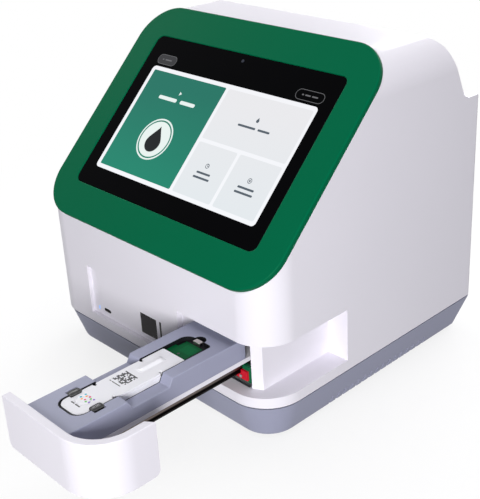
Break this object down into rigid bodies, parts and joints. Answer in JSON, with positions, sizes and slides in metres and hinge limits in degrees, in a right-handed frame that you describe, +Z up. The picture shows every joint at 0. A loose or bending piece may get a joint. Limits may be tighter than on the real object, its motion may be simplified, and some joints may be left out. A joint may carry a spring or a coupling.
{
  "type": "assay cartridge reader",
  "caption": "Bench reader for assay cartridges: moulded housing, sloped touch screen in a green bezel, motor-driven tray drawn out with a cartridge in its bay.",
  "frame": {"origin": "on the bench, under the middle of the housing's footprint, with the feet's undersides at z = 0", "axes": "+X to the right seen from the front, +Y to the back, away from the tray's front, +Z up"},
  "size_m": [0.3, 0.4461, 0.3046],
  "materials": {
    "cover_white": "fine satin moulded plastic",
    "base_grey": "fine matt moulded plastic",
    "bezel_green": "smooth satin painted plastic",
    "screen_black": "polished black-backed glass",
    "black_plastic": "matt black plastic",
    "clear_plastic": "frosted light guide",
    "rubber_black": "matt rubber",
    "foam_black": "closed-cell foam",
    "steel": "ground steel",
    "screw_steel": "zinc-plated steel",
    "sheet_aluminium": "plain sheet",
    "board_green": "solder mask over glass-fibre laminate",
    "seal_red": "moulded seal",
    "cap_green": "moulded end cap",
    "tray_grey": "fine matt moulded plastic",
    "cartridge_white": "moulded plastic",
    "rack_plastic": "machined acetal",
    "pinion_brass": "machined brass",
    "lens_glass": "coated lens"
  },
  "bodies": {
    "housing": {"main_cover": "cover_white", "base_pan": "base_grey", "seam_strip": "black_plastic", "rubber_feet": "rubber_black", "base_screws": "screw_steel", "chassis_posts": "screw_steel", "chassis_plate": "sheet_aluminium", "chassis_screws": "screw_steel", "screen_bezel": "bezel_green", "screen_glass": "screen_black", "camera_lens": "lens_glass", "glass_gasket": "foam_black", "display_panel": "black_plastic", "display_bracket": "sheet_aluminium", "status_lamp": "clear_plastic", "usb_socket": "steel", "scan_window": "screen_black", "light_bar": "clear_plastic", "scan_module": "black_plastic", "front_board": "board_green", "guide_carriage": "steel", "carriage_end_caps": "cap_green", "carriage_seals": "seal_red", "seal_screws": "screw_steel", "carriage_block": "sheet_aluminium", "tray_motor": "steel", "motor_bracket": "sheet_aluminium", "home_sensor": "black_plastic", "optics_bridge": "sheet_aluminium", "optics_head": "black_plastic", "optics_lens": "lens_glass", "board_posts": "screw_steel", "main_board": "board_green", "heat_sink": "sheet_aluminium", "board_screws": "screw_steel", "back_panel": "sheet_aluminium", "panel_screws": "screw_steel", "fan_frame": "black_plastic", "switch_frame": "black_plastic", "socket_board": "board_green", "power_jack": "black_plastic", "network_socket": "steel", "usb_a_sockets": "steel"},
    "tray": {"tray_front": "cover_white", "tray_plate": "cover_white", "tray_screws": "screw_steel", "tray_cover": "tray_grey", "bay_frame": "black_plastic", "tray_board": "board_green", "frame_clip": "steel", "cartridge_body": "cartridge_white", "cartridge_lid": "cartridge_white", "guide_rail": "steel", "rail_screws": "screw_steel", "tray_rack": "rack_plastic"},
    "left_catch": {"left_catch": "black_plastic"},
    "right_catch": {"right_catch": "black_plastic"},
    "pinion": {"drive_pinion": "pinion_brass"},
    "fan": {"fan_rotor": "black_plastic"},
    "rocker": {"switch_rocker": "black_plastic"}
  },
  "joints": [
    {"name": "tray_slide", "type": "slide", "parent": "housing", "child": "tray", "axis": [0, 1, 0], "range_m": [0, 0.1645]},
    {"name": "pinion_spin", "type": "hinge", "parent": "housing", "child": "pinion", "pos_m": [0.068, -0.102, 0.05275], "axis": [-1, 0, 0], "range_deg": [-5, 950]},
    {"name": "left_catch_slide", "type": "slide", "parent": "tray", "child": "left_catch", "axis": [-1, 0, 0], "range_m": [0, 0.0015], "stiffness_N_per_m": 500, "springref_m": -0.001},
    {"name": "right_catch_slide", "type": "slide", "parent": "tray", "child": "right_catch", "axis": [1, 0, 0], "range_m": [0, 0.0015], "stiffness_N_per_m": 500, "springref_m": -0.001},
    {"name": "fan_spin", "type": "hinge", "parent": "housing", "child": "fan", "pos_m": [-0.073, 0.128, 0.098], "axis": [0, 1, 0], "continuous": true},
    {"name": "switch_rock", "type": "hinge", "parent": "housing", "child": "rocker", "pos_m": [0.086, 0.1355, 0.098], "axis": [1, 0, 0], "range_deg": [0, 20]}
  ],
  "couplings": [
    {"joint": "pinion_spin", "follows": "tray_slide", "rad_per_m": 100}
  ]
}
